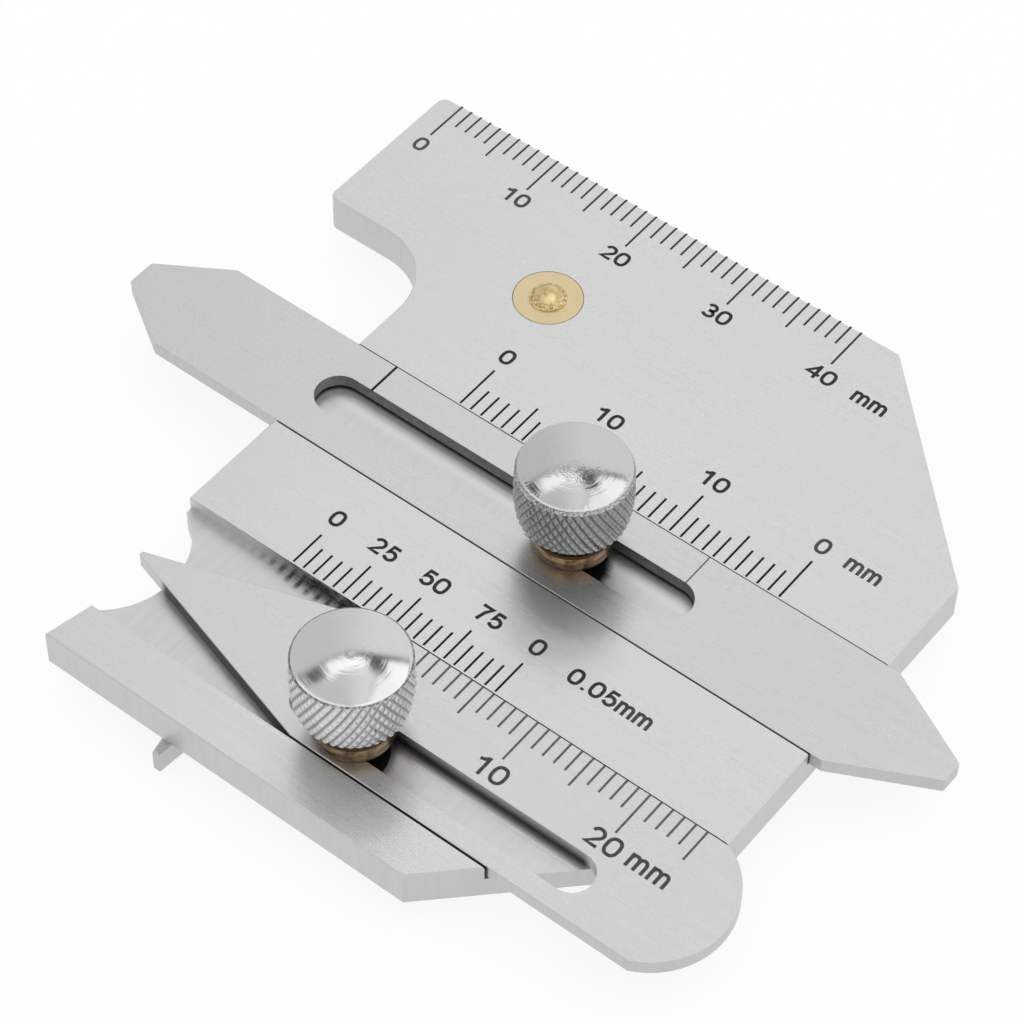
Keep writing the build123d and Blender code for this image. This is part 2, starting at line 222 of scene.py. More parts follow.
# %% [markdown]
# ## Brushed steel
# The plate and the three rules are ground stainless steel. Grinding leaves scratches that run along each
# piece. They hardly change the colour. What they change is the slope: a scratch is a tiny valley, which
# tips the surface to one side and the other. Every reflection is smeared across the grain and not along it.
# So the grain is a wave and some noise, stretched along the piece, and nearly all of it goes into the bump.
# The side faces were milled, with cutter marks that run from front to back.

# %% A recipe for ground steel
GRAIN_DEPTH = 0.003


def ground_steel(name, tone, across=(0.0, 1.0), sides=0.9, corners=None):
    """Steel with grain along the direction that across is square to. The finest scratches are
    sine(2 pi * (9 * cross + 1.2 * noise(cross / 1.1 mm))), so no slope is steeper than the rest.
    Wider ones are noise(cross / 0.3 mm) and noise(cross / 0.7 mm). The colour is tone * (0.965 to 1.035).
    Side faces are tone * sides with marks every 0.4 mm.
    corners gives a list of (mask, tone, roughness) for slots and channels, mixed in one by one."""
    finish = Finish(name)
    x, y, z = finish.place()
    nx, ny, nz = finish.facing()
    cross = x * across[0] + y * across[1]
    along = x * across[1] - y * across[0]
    drift = finish.streaks(along * 0.12, cross * 0.9, z * 0.3)
    fine = ((cross * 9.0 + drift * 1.2) * float(2 * np.pi)).math("SINE") * 0.5 + 0.5
    middle = finish.streaks(along * 0.07, cross * 3.4, z * 0.3, detail=1.0)
    broad = finish.streaks(along * 0.05, cross * 1.4, z * 0.2, detail=1.0)
    marks = finish.streaks(x * 2.6, y * 2.6, z * 0.25, detail=3.0, rough=0.6)
    smudge = finish.streaks(x * 0.09, y * 0.12, z * 0.1, detail=1.0)
    flat = abs(nz).ramp(0.55, 0.85)
    tone_flat = (fine * 0.02 + middle * 0.02 + smudge * 0.03 + 0.965) * tone
    tone_side = (marks * 0.22 + 0.89) * (tone * sides)
    value = tone_side + (tone_flat - tone_side) * flat
    rough_side = marks * 0.12 + 0.34
    rough = rough_side + ((broad * 0.10 + 0.22) - rough_side) * flat
    if corners is not None:
        for mask, corner_tone, corner_rough in corners(finish, (x, y, z), (nx, ny, nz), marks, flat):
            value = value + (corner_tone * tone - value) * mask
            rough = rough + (corner_rough - rough) * mask
    side_height = marks * (1.0 - flat) * 0.0022
    flat_height = (fine * GRAIN_DEPTH + middle * 0.005 + broad * 0.006) * flat
    finish.shade(Base_Color=finish.grey(value), Metallic=1.0, Roughness=rough)
    finish.relief(side_height + flat_height, MM)
    return finish


def away(x, y, axis):
    """Distance from an upright axis, in millimetres."""
    dx = x - float(axis[0])
    dy = y - float(axis[1])
    return (dx * dx + dy * dy) ** 0.5


def turn_about(x, y, axis):
    """Angle about an upright axis, in radians."""
    return (y - float(axis[1])).math("ARCTAN2", x - float(axis[0]))


def inside(x, y, left, right, low, high):
    """1 where the point is between left and right and between low and high, in millimetres, and else 0."""
    return (x > left) * (x < right) * (y > low) * (y < high)


def near(y, line):
    """1 where y is within 0.2 mm of a line along the scales, and else 0."""
    return abs(y - line) < 0.2


# %% [markdown]
# ## Slots and channels
# Nobody polishes the inside of a slot. The channels' floors are dull, with the milling cutter's marks
# across them, and they are painted brighter beside the two slots' upper walls, a painted highlight. The
# vernier's lines were burnt in a little past the plate's edge, which left a comb of dark spots on the floor.
# A ragged black disc is painted on the floor below each washer as its shadow. The walls of the slots are
# rough and dark, with shade painted black in the corner at their foot; the slider slot's wall is painted as
# shade from light at its top to black at its foot, and the walls that face into the gaps beside the blade
# and the slider are painted black as the shade in those gaps.
# Each of these is a mask, which is 1 in its own place, with the colour and the roughness that it mixes in.

# %% Masks for the slots and the channels
# The painted shadow disc below each washer is centred this far from its stud.
WASHER_SHADOW_OFFSET = (0.12, -1.22)
BLADE_SLOT = (-9.5, 27.6, -20.2, -16.0)  # left, right, low and high, a little past the slot's own walls
SLIDER_SLOT = (8.0, 36.2, -43.6, -39.5)
NEEDLE = (-60.0, 13.0, -46.0, -38.0)


def plate_corners(finish, spot, facing, marks, flat):
    """Floor: dull with cutter marks across, and painted brighter beside the two slots' upper walls, a
    painted highlight.
    Comb: teeth one vernier pitch apart, with fract((x - zero) / pitch) as the place within each. They reach
    further down to the right, and join at their root.
    Painted washer shadow: a ragged black disc just below each stud.
    Walls: the two upper ones are streaked, with clouds of soot behind the comb, and the two that face away
    from the camera are painted black as the shade in the gaps beside the blade and the slider."""
    x, y, z = spot
    _, ny, nz = facing
    floor = (z < CHANNEL_FLOOR + 0.3) * flat * (nz > 0.5)
    milling = finish.streaks(x * 2.2, y * 0.12, z * 0.1, detail=3.0, rough=0.6)
    clouds = finish.streaks(x * 0.8, y * 0.8, z, detail=4.0, rough=0.7)
    # Painted highlight: the floor is painted brighter beside the two slots' upper walls.
    upper_painted_shine = floor * y.ramp(-18.3, -17.1) * (y < -15.0)
    lower_painted_shine = floor * y.ramp(-41.2, -40.2) * (y < -38.5) * x.ramp(17.0, 19.0)

    below_wall = y < LOWER_CHANNEL[1] + 0.1
    step = ((x - VERNIER_ZERO) / VERNIER_PITCH + 100.5).math("FRACT") - 0.5
    tooth = abs(step).ramp(0.36, 0.08)
    reach = x.ramp(-1.0, 2.5, -33.35, -33.85)
    spread = (y - reach).ramp(-0.25, 0.45) * below_wall
    root = y.ramp(-33.35, -33.05) * below_wall * x.ramp(0.5, 3.0) * 0.75
    smoke = finish.streaks(x * 2.0, y * 2.0, z, detail=3.0, rough=0.6)
    burnt = (tooth * spread).most(root) * smoke.ramp(0.12, 0.5) * x.ramp(-3.5, 2.0, 0.1, 0.95)

    # Painted shadow: a ragged black disc on the floor just below each washer.
    ragged = finish.streaks(x * 0.6, y * 8.0, z, detail=3.0, rough=0.6) - 0.5
    upper_reach = away(x, y, UPPER_STUD + WASHER_SHADOW_OFFSET) + ragged * 0.9
    lower_reach = away(x, y, LOWER_STUD + WASHER_SHADOW_OFFSET) + ragged * 0.2
    washer_shadow = upper_reach.ramp(4.05, 3.15).most(lower_reach.ramp(3.4, 3.3))

    wall = (1.0 - flat) * (z > CHANNEL_FLOOR - 0.1)
    upper_wall = wall * (ny < -0.7) * near(y, UPPER_CHANNEL[1])
    lower_wall = wall * (ny < -0.7) * near(y, LOWER_CHANNEL[1])
    # Painted shade: the walls that face into the gaps beside the blade and the slider are painted black.
    shaded_gap_walls = wall * (ny > 0.7) * (near(y, UPPER_CHANNEL[0]) + near(y, LOWER_CHANNEL[0]))
    streak = finish.streaks(x * 0.7, y, z * 7.0, detail=3.0, rough=0.6)
    # Of these, the bright floor strips are painted highlights, the black disc below each washer is a painted
    # shadow and the black walls facing into the gaps are painted shade.
    return [
        (floor, milling * 0.20 + clouds * 0.06 + 0.83, milling * 0.08 + 0.27),
        (upper_painted_shine, 1.22, 0.3),
        (lower_painted_shine, 1.12, 0.24),
        (floor * burnt, 0.12, 0.6),
        (floor * washer_shadow, 0.02, 0.6),
        (lower_wall, (streak * 0.6 + 0.62) * x.ramp(-3.0, 2.5, 1.0, 0.45), 0.45),
        (lower_wall * x.ramp(0.5, 2.5) * clouds.ramp(0.45, 0.6), 0.12, 0.6),
        (upper_wall, marks * 0.3 + 0.3, 0.5),
        (shaded_gap_walls, 0.04, 0.6),
    ]


def blade_corners(finish, spot, facing, marks, flat):
    """The slot's wall is dark and rough, with a black line painted where it meets the channel's floor as the
    shade in that corner.
    """
    x, y, z = spot
    wall = (1.0 - flat) * inside(x, y, *BLADE_SLOT)
    torn = finish.streaks(x * 3.5, y * 3.5, z * 3.5, detail=4.0, rough=0.7)
    # Painted shade: a black line at the wall's foot, in its corner with the channel's floor.
    foot = z.ramp(CHANNEL_FLOOR + 0.22, CHANNEL_FLOOR + 0.14)
    return [(wall, torn * 0.5 + x.ramp(-6.5, -9.0, 0.09, 0.25), 0.6), (wall * foot, 0.02, 0.8)]


def slider_corners(finish, spot, facing, marks, flat):
    """The slot's wall is painted as shade, from light at its upper edge to black at its foot.
    The needle's lower side, which was cut on the slant, is dark and dull except at the point."""
    x, y, z = spot
    nx, ny, _ = facing
    wall = (1.0 - flat) * inside(x, y, *SLIDER_SLOT)
    # Painted shade: the slot's wall goes from black at its foot to light at its upper edge with climb.
    climb = z.ramp(CHANNEL_FLOOR + 0.1, PLATE_TOP)
    slant = (1.0 - flat) * (nx < -0.15) * (ny < -0.5) * inside(x, y, *NEEDLE)
    return [
        (wall * (ny < 0.0) * x.ramp(34.9, 33.8), climb * 0.62 + 0.02, 0.5),
        (slant * x.ramp(-5.2, -4.2), marks * 0.12 + 0.10, 0.55),
    ]


plate_steel = ground_steel("plate_steel", 0.65, corners=plate_corners)
blade_steel = ground_steel("blade_steel", 0.61, corners=blade_corners)
slider_steel = ground_steel("slider_steel", 0.63, corners=slider_corners)
rule_steel = ground_steel("rule_steel", 0.6, across=(1.0, 0.063))
dress(plate_steel, "main_plate")
dress(blade_steel, "height_blade")
dress(slider_steel, "undercut_slider")
dress(rule_steel, "rear_rule")

# %% [markdown]
# ## Turned steel and brass
# Studs, washers and the rivet are turned on a lathe. A lathe tool leaves fine rings, so their grain is
# noise in the distance from the piece's own axis and in the height, and hardly changes on the way round.

# %% A recipe for turned metal


def turned(name, colour, dark, axis, rough, spots=0.0):
    """Metal with rings about a vertical axis: noise(radius * 14, height * 14, angle / 3).
    The colour goes from colour to dark in the rings, and spots adds tarnish."""
    finish = Finish(name)
    x, y, z = finish.place()
    rings = finish.streaks(away(x, y, axis) * 14.0, z * 14.0, turn_about(x, y, axis) * 0.35, detail=2.0)
    cloud = finish.streaks(x * 1.1, y * 1.1, z * 1.1, detail=3.0)
    share = rings.ramp(0.3, 0.75) * (1.0 - spots) + cloud.ramp(0.4, 0.7) * spots
    colour = finish.between(share, (*colour, 1), (*dark, 1))
    finish.shade(Base_Color=colour, Metallic=1.0, Roughness=rings * 0.12 + rough)
    finish.relief(rings, 0.003 * MM)
    return finish


stud_steel = turned("stud_steel", (0.42, 0.42, 0.42), (0.3, 0.3, 0.3), UPPER_STUD, 0.3)
disc_brass = turned("disc_brass", (0.70, 0.585, 0.36), (0.66, 0.54, 0.32), (0, 0), 0.34, spots=0.3)


def pressed_brass():
    """The rivet's head was pressed to shape with a punch: smooth on top, and dinted all round its lower
    part, where noise(place * 5) goes between pale and dark brass."""
    finish = Finish("rivet_brass")
    x, y, z = finish.place()
    low = z.ramp(PLATE_TOP + 0.55, PLATE_TOP + 0.3)
    dints = finish.streaks(x * 5.0, y * 5.0, z * 5.0, detail=2.0)
    cloud = finish.streaks(x * 1.6, y * 1.6, z * 1.6, detail=3.0)
    top = finish.between(cloud.ramp(0.3, 0.7), (0.64, 0.53, 0.29, 1), (0.50, 0.40, 0.19, 1))
    foot = finish.between(dints.ramp(0.38, 0.62), (0.80, 0.65, 0.37, 1), (0.42, 0.30, 0.13, 1))
    finish.shade(Base_Color=finish.between(low, top, foot), Metallic=1.0, Roughness=cloud * 0.1 + 0.16)
    finish.relief(dints * (low * 0.010 + 0.006), MM)
    return finish


rivet_brass = pressed_brass()


def washer_brass(name, axis, light, middle, dark):
    """Turned brass gone brown, by height above the plate's face: a foot painted dark as the shade where the
    washer meets the plate, a brown lower half, a line where the tool stopped, a lighter upper half and a lip
    painted dark as the shade under the knob.
    All of it is mottled by noise(angle * 4, height * 1.5)."""
    finish = Finish(name)
    x, y, z = finish.place()
    turn = turn_about(x, y, axis)
    above = z - PLATE_TOP
    mottle = finish.streaks(turn * 4.0, above * 1.5, away(x, y, axis) * 0.8, detail=4.0, rough=0.65)
    rings = finish.streaks(above * 7.0, turn * 0.3, 0.0, detail=2.0)
    halves = finish.between(above.ramp(0.62, 0.82), (*middle, 1), (*light, 1))
    # Painted shade: the foot is dark where the washer meets the plate.
    foot = above.ramp(0.2, 0.05)
    groove = abs(above - 0.68).ramp(0.09, 0.02) * 0.5
    # Painted shade: the lip is dark under the knob.
    shade_under_knob = above.ramp(1.22, 1.34)
    tarnish = mottle.ramp(0.36, 0.66) * 0.75 + rings * 0.3 - 0.1
    share = tarnish.most(groove).most(shade_under_knob).most(foot)
    colour = finish.between(share, halves, (*dark, 1))
    finish.shade(Base_Color=colour, Metallic=1.0, Roughness=mottle * 0.2 + 0.26)
    finish.relief(rings * 0.006 + mottle * 0.012, MM)
    return finish


upper_brass = washer_brass(
    "washer_brass_upper", UPPER_STUD, (0.50, 0.325, 0.165), (0.24, 0.15, 0.08), (0.06, 0.038, 0.024)
)
lower_brass = washer_brass(
    "washer_brass_lower", LOWER_STUD, (0.47, 0.32, 0.175), (0.25, 0.165, 0.095), (0.06, 0.042, 0.028)
)
dress(stud_steel, "upper_stud", "lower_stud", "pivot_spring_washer")
dress(disc_brass, "pivot_disc", "pivot_back_washer")
dress(rivet_brass, "pivot_rivet")
dress(upper_brass, "upper_washer")
dress(lower_brass, "lower_washer")

# %% [markdown]
# ## Making a mesh from arrays
# The pieces that Blender adds are surfaces worked out with numpy and handed over as whole arrays.
# Each rides on the body that carries it, so it moves when the gauge's joints move.

# %% Hand points and faces to Blender


def piece(name, points, faces, finish, body, slot_name):
    """A mesh object at the origin from points in millimetres and faces of point numbers."""
    data = bpy.data.meshes.new(name)
    data.from_pydata((np.asarray(points) * MM).tolist(), [], [list(face) for face in faces])
    data.validate()
    data.materials.append(finish.owner)
    shown = bpy.data.objects.new(name, data)
    bpy.context.scene.collection.objects.link(shown)
    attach(shown, body)
    print(name, len(data.vertices), "points", len(data.polygons), "faces")
    return shown


# %% [markdown]
# ## The knurled knobs
# A diamond knurl is rolled in by two wheels with slanted teeth, one leaning each way. Each leaves a wave
# that climbs round the knob, and what stands between the two sets of grooves is a field of small pyramids.
# On the real pair one wheel pressed deeper than the other, and not the same wheel on both knobs.

# %% The knob's outline and its knurl
KNOB_BASE = PLATE_TOP + 1.5
KNURL_FOOT = KNOB_BASE + 0.15
KNURL_HEIGHT = 6.5
CROWN_EDGE = KNURL_FOOT + KNURL_HEIGHT + 0.2
RIM_RADIUS = 4.42
CROWN_HEIGHT = 0.4
SWELL_HEIGHTS = [0, 0.5, 1.0, 1.7, 2.6, 3.9, 5.2, KNURL_HEIGHT]
SWELL_RADII = [2.75, 3.23, 3.72, 4.25, 4.41, 4.52, 4.5, RIM_RADIUS]
UNDERSIDE = np.array([(0.0, 5.6), (1.55, 5.6), (1.55, 0.0), (2.65, 0.0), (2.65, 0.15), (2.7, 0.15)])
KNURL_ROWS = 120
KNURL_COLUMNS = 400


def knob_profile(rim_drop, rim_in):
    """Radius and height along the knob's outline, from the blind end of its bore to the crown's middle, and
    how deeply the knurl cuts there, as a share. The rim is broken by rim_drop down and rim_in inwards.
    The crown is CROWN_EDGE + CROWN_HEIGHT * (1 - (radius / crown_radius) ** 2), with a turning mark."""
    crown_radius = RIM_RADIUS - rim_in
    climb = np.linspace(0.0, 1.0, KNURL_ROWS)
    high = KNURL_FOOT + (CROWN_EDGE - rim_drop - KNURL_FOOT) * climb
    swell = np.interp(high - KNURL_FOOT, SWELL_HEIGHTS, SWELL_RADII)
    swell = np.convolve(np.pad(swell, 3, mode="edge"), np.ones(7) / 7, mode="valid")
    share = np.clip(climb / 0.04, 0, 1) * np.clip((1 - climb) / 0.012, 0, 1)
    dome_r = np.concatenate([np.linspace(crown_radius, 0.5, 17), [0.4, 0.35, 0.3, 0.15, 0.0]])
    dome_z = CROWN_EDGE + CROWN_HEIGHT * (1 - (dome_r / crown_radius) ** 2)
    dome_z[-3:] -= 0.002
    slope = np.linspace(0.2, 1, 4)[:-1]
    crown_r = np.concatenate([RIM_RADIUS - rim_in * slope, dome_r])
    crown_z = np.concatenate([CROWN_EDGE - rim_drop * (1 - slope), dome_z])
    radius = np.concatenate([UNDERSIDE[:, 0], swell, crown_r])
    height = np.concatenate([KNOB_BASE + UNDERSIDE[:, 1], high, crown_z])
    cut = np.concatenate([np.zeros(len(UNDERSIDE)), share, np.zeros(len(crown_r))])
    return radius, height, cut


def ridges(turns):
    """1.45 * (1 - |2 * fract(turns) - 1|), cut off at 1: one ridge with a flat top for each whole turn."""
    return np.minimum((1 - np.abs(2 * np.mod(turns, 1) - 1)) * 1.45, 1)


def knurled_knob(name, axis, body, finishes, teeth, depth, lean, pitch, shares, rim_drop, rim_in, chips):
    """The outline turned about the knob's axis. With angle t, height z, T teeth and pitch P, the two waves
    are one = ridges(T * t / 2pi - z / P) and two = ridges(T * t / 2pi + z / P), and lean = -1 swaps them.
    The surface sinks by depth * (1 - the lower of the two). The two wheels wandered, so each wave's share
    changes on the way round: shares gives (angle in degrees, share of one, share of two) to go between.
    chips breaks bits of that depth out of the rim, where a sum of three sines is high.
    The attribute groove keeps how far each point sank, as a share."""
    radius, height, cut = knob_profile(rim_drop, rim_in)
    turn = np.linspace(0, 2 * np.pi, KNURL_COLUMNS, endpoint=False)
    t, z = np.meshgrid(turn, height)
    one = ridges(teeth * t / (2 * np.pi) - lean * z / pitch)
    two = ridges(teeth * t / (2 * np.pi) + lean * z / pitch)
    angles, shares_one, shares_two = np.array(shares, float).T
    share_one = np.interp(np.degrees(t), angles, shares_one)
    share_two = np.interp(np.degrees(t), angles, shares_two)
    left = np.minimum(1 - share_one * (1 - one), 1 - share_two * (1 - two))
    sink = (1 - left) * cut[:, None]
    edge = np.exp(-(((z - CROWN_EDGE + 0.1) / 0.2) ** 2)) * (radius[:, None] > 4.0)
    wander = sum(np.sin(k * t + phase) / 3 for k, phase in ((43, 0.4), (71, 1.9), (113, 4.0)))
    r = radius[:, None] - depth * sink - chips * edge * np.clip(wander + 0.3, 0, 1)
    points = np.stack([axis[0] + r * np.cos(t), axis[1] + r * np.sin(t), z], -1)
    rows = len(radius)
    number = np.arange(rows * KNURL_COLUMNS).reshape(rows, KNURL_COLUMNS)
    number[0] = number[0, 0]
    number[-1] = number[-1, 0]
    after = np.roll(number, -1, axis=1)
    quads = np.stack([number[:-1], after[:-1], after[1:], number[1:]], -1)
    middle = quads[1:-1].reshape(-1, 4)
    first = quads[0][:, [0, 2, 3]]
    last = quads[-1][:, [0, 1, 2]]
    faces = first.tolist() + middle.tolist() + last.tolist()
    shown = piece(name, points.reshape(-1, 3), faces, finishes[0], body, "knob_plating")
    shown.data.materials.append(finishes[1].owner)
    groove = shown.data.attributes.new("groove", "FLOAT", "POINT")
    groove.data.foreach_set("value", sink.ravel().astype(np.float32))
    centres = np.zeros(len(shown.data.polygons) * 3)
    shown.data.polygons.foreach_get("center", centres)
    crown = centres.reshape(-1, 3)[:, 2] > CROWN_EDGE * MM
    shown.data.polygons.foreach_set("material_index", crown.astype(np.int32))
    shown.data.polygons.foreach_set("use_smooth", crown)
    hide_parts(body)


# %% [markdown]
# The plating is nickel and bright on the tips, with shade painted dark into the grooves. The upper knob
# has a darker, shaded copy of the plating and the lower knob a lighter, lit copy: painted shade and light.
# The mesh carries the depth of its grooves as an attribute, and the colour follows it.
# The crown is faced on a lathe, and the rings that the tool left blur every reflection across them.

# %% Plating for the sides and the crowns


def knurl_plating(name, tip, pit, dirt, rim_start, rim_low, rim_high):
    """Nickel plating that goes from the colour tip to the colour pit with the depth of the grooves, the pit
    colour being painted shade in the grooves, and is specked by dirt as much as the share dirt says.
    Above the height rim_start the broken rim is chipped: noise between the colours rim_low and rim_high."""
    finish = Finish(name)
    x, y, z = finish.place()
    depth = finish.add("Attribute", {"attribute_name": "groove"}, out="Fac")
    cloud = finish.streaks(x * 1.6, y * 1.6, z * 1.6, detail=3.0)
    specks = finish.streaks(x * 7.0, y * 7.0, z * 7.0, detail=2.0, rough=0.6)
    # Painted shade: the colour darkens from tip to pit with the depth of the grooves.
    share = depth.ramp(0.1, 0.9) * 0.8 + cloud * 0.15 + (specks - 0.5) * dirt
    chips = finish.streaks(x * 6.0, y * 6.0, z * 8.0, detail=3.0, rough=0.6)
    rim = z.ramp(rim_start - 0.02, rim_start + 0.02)
    value = tip + (pit - tip) * share
    value = value + (chips.ramp(0.38, 0.62, rim_low, rim_high) - value) * rim
    finish.shade(Base_Color=finish.grey(value), Metallic=1.0, Roughness=cloud * 0.1 + 0.2)
    finish.relief(chips * rim * 0.012 + specks * 0.006 * dirt + cloud * 0.002, MM)
    return finish


def crown_plating(name, axis, tone, rough, ring_depth, pit_depth):
    """A faced crown: rings 0.3 mm and less apart in colour, roughness and bump, and pits near the centre."""
    finish = Finish(name)
    x, y, z = finish.place()
    radius = away(x, y, axis)
    rings = finish.streaks(radius * 3.2, turn_about(x, y, axis) * 0.6, z * 0.1, detail=3.0, rough=0.6)
    pits = finish.streaks(x * 5.0, y * 5.0, z, detail=2.0, rough=0.6)
    value = (rings * 0.06 + pits * 0.04 + 0.95) * tone
    finish.shade(Base_Color=finish.grey(value), Metallic=1.0, Roughness=rings * 0.05 + rough)
    finish.relief(rings * ring_depth + pits * radius.ramp(3.4, 1.4) * pit_depth, MM)
    return finish


# One plating in two copies: darker for the upper knob as painted shade, lighter for the lower knob as
# painted light.
shaded_upper_plating = knurl_plating("knob_plating_upper_shaded", 0.44, 0.15, 0.7, CROWN_EDGE - 0.36, 0.25, 0.62)
lit_lower_plating = knurl_plating("knob_plating_lower_lit", 0.72, 0.28, 0.25, CROWN_EDGE - 0.10, 0.12, 0.42)
upper_top = crown_plating("knob_crown_upper", UPPER_STUD, 0.54, 0.05, 0.011, 0.006)
lower_top = crown_plating("knob_crown_lower", LOWER_STUD, 0.595, 0.07, 0.007, 0.0015)
UPPER_SHARES = [
    (0, 1, 0.4), (60, 0.8, 0.8), (170, 0.8, 0.8), (205, 0.3, 1), (250, 0.35, 1),
    (268, 0.85, 1), (285, 1, 0.9), (308, 1, 0.45), (330, 1, 0.35), (360, 1, 0.4),
]
LOWER_SHARES = [
    (0, 0.6, 1), (15, 0.4, 1), (90, 0.8, 0.8), (200, 0.9, 0.9), (235, 1, 0.9), (262, 1, 0.6),
    (280, 1, 0.35), (300, 1, 0.45), (325, 1, 0.65), (340, 1, 1), (352, 0.75, 1), (360, 0.6, 1),
]
knurled_knob(
    "knurled_knob_upper", UPPER_STUD, "upper_knob", (shaded_upper_plating, upper_top),
    teeth=43, depth=0.13, lean=-1, pitch=1.18, shares=UPPER_SHARES, rim_drop=0.35, rim_in=0.13, chips=0.05,
)
knurled_knob(
    "knurled_knob_lower", LOWER_STUD, "lower_knob", (lit_lower_plating, lower_top),
    teeth=41, depth=0.15, lean=1, pitch=1.22, shares=LOWER_SHARES, rim_drop=0.10, rim_in=0.16, chips=0.0,
)

# %% [markdown]
# ## Black in the graduations
# The lines are cut into the steel and rubbed full of black wax, which stands a hair below the surface.
# The wax is dull and has faded grey on the slider, and on the edge scale it is painted a little lighter,
# a painted sheen.

# %% The wax and the bars
GROOVE_GAP = 0.004
WAX_BELOW = 0.003


def filler(name, speck, dark, light, gloss, sheen_grey=None):
    """Dull black: noise(place * speck) goes from dark to light, and gloss is how much it mirrors.
    The function given last may give a grey to add, a painted sheen."""
    finish = Finish(name)
    x, y, z = finish.place()
    cloud = finish.streaks(x * speck, y * speck, z, detail=3.0)
    value = cloud.ramp(0.3, 0.8, dark, light)
    if sheen_grey is not None:
        # Painted sheen: a grey added to the black.
        value = value + sheen_grey(x, y)
    finish.shade(Base_Color=finish.grey(value), Roughness=0.55, Specular_IOR_Level=gloss)
    finish.relief(cloud, 0.006 * MM)
    return finish


def edge_scale_sheen(x, y):
    """The black of the whole edge scale is painted a little lighter, a painted sheen."""
    return (y > 0.0) * 0.035


def bars(lines, width):
    """Points and faces of one closed bar for each line (x, lower end, upper end), in millimetres.
    A bar fills its groove from the bottom to WAX_BELOW under the steel, GROOVE_GAP clear of its walls."""
    lines = np.array(lines, float)
    half = width / 2 - GROOVE_GAP
    low, high = PLATE_TOP - LINE_DEPTH, PLATE_TOP - WAX_BELOW
    corners = np.array([(i, j, k) for k in (0, 1) for i, j in ((-1, 0), (1, 0), (1, 1), (-1, 1))])
    x = lines[:, 0, None] + half * corners[:, 0]
    y = np.where(corners[:, 1] > 0, lines[:, 2, None] - GROOVE_GAP, lines[:, 1, None] + GROOVE_GAP)
    z = np.broadcast_to(np.where(corners[:, 2] > 0, high, low), x.shape)
    points = np.stack([x, y, z], -1).reshape(-1, 3)
    sides = np.array([(3, 2, 1, 0), (4, 5, 6, 7), (0, 1, 5, 4), (1, 2, 6, 5), (2, 3, 7, 6), (3, 0, 4, 7)])
    faces = (sides + 8 * np.arange(len(lines))[:, None, None]).reshape(-1, 4)
    return points, faces


def scale_lines(zero, count, pitch, edge, way, length_of):
    """One (x, low, high) for each number of a scale, from its edge up (way 1) or down (way -1)."""
    number = np.arange(count + 1)
    length = np.array([length_of(n) for n in number])
    ends = np.stack([np.full(count + 1, edge), edge + way * length])
    return np.stack([zero + number * pitch, ends.min(0), ends.max(0)], -1)


def ten_five_one(ten, five, one):
    """A rule that gives a line's length from its number."""
    return lambda n: ten if n % 10 == 0 else five if n % 5 == 0 else one


def height_length(n):
    """The height scale counts 0 to 15 and back to 0."""
    return ten_five_one(4.28, 3.31, 2.33)(15 - abs(n - 15))


def index_line(zero):
    """A line of the blade, which stands HEIGHT_READING to the left of a zero of the height scale."""
    return [(zero - HEIGHT_READING, BLADE_EDGE - INDEX_LENGTH, BLADE_EDGE)]


HEIGHT_EDGE = UPPER_CHANNEL[1] + 0.12
BLADE_EDGE = UPPER_CHANNEL[1] - 0.05
VERNIER_EDGE = LOWER_CHANNEL[1] + 0.15
SLIDER_EDGE = LOWER_CHANNEL[1] - 0.05
INDEX_LENGTH = 3.05
wax = filler("scale_wax", 3.0, 0.006, 0.02, 0.12, edge_scale_sheen)
faded_wax = filler("faded_wax", 3.0, 0.08, 0.14, 0.3)
plate_lines = np.concatenate([
    scale_lines(SCALE_ZERO, 40, 1, SCALE_EDGE, -1, ten_five_one(4.23, 3.27, 2.24)),
    scale_lines(HEIGHT_ZERO, 30, 1, HEIGHT_EDGE, 1, height_length),
    scale_lines(VERNIER_ZERO, 20, VERNIER_PITCH, VERNIER_EDGE, 1, ten_five_one(3.25, 3.25, 2.25)),
])
slider_lines = scale_lines(SLIDER_ZERO, 25, 1, SLIDER_EDGE, -1, ten_five_one(4.12, 2.98, 2.12))
for name, lines, width, finish, body, slot_name in (
    ("plate_scale_fill", plate_lines, LINE_WIDTH, wax, "gauge_body", "plate_steel"),
    ("slider_scale_fill", slider_lines, LINE_WIDTH, faded_wax, "undercut_slider", "slider_steel"),
    ("left_index_fill", index_line(HEIGHT_ZERO), 0.22, wax, "height_blade", "blade_steel"),
    ("right_index_fill", index_line(HEIGHT_ZERO + 30), 0.12, faded_wax, "height_blade", "blade_steel"),
):
    piece(name, *bars(lines, width), finish, body, slot_name)

# %% [markdown]
# ## The numbers
# The figures are etched in a plain sans serif. Each is drawn as the path of a pen, and the pen's line is
# given a width, square ends and a thickness, so that it is a closed solid and not a loose sheet.

# %% Pen paths for the figures
PEN_WIDTH = 0.285
FIGURE_LIFT = 0.006
FIGURE_DEPTH = 0.02
STROKE_STEP = 0.0004


def arc(cx, cy, rx, ry, start, end, count=18):
    """Points of an elliptical arc: centre + (rx cos a, ry sin a), with a from start to end in degrees."""
    a = np.radians(np.linspace(start, end, count))
    return np.stack([cx + rx * np.cos(a), cy + ry * np.sin(a)], -1)


def run(*parts):
    """Joins points and arcs into one path."""
    return np.concatenate([np.atleast_2d(np.array(part, float)) for part in parts])


def round_box(cx, cy, rx, ry, power, count=40):
    """A closed curve with |x / rx| ** power + |y / ry| ** power = 1."""
    a = np.linspace(0, 2 * np.pi, count)
    circle = np.stack([np.cos(a), np.sin(a)], -1)
    return (cx, cy) + (rx, ry) * np.sign(circle) * np.abs(circle) ** (2 / power)


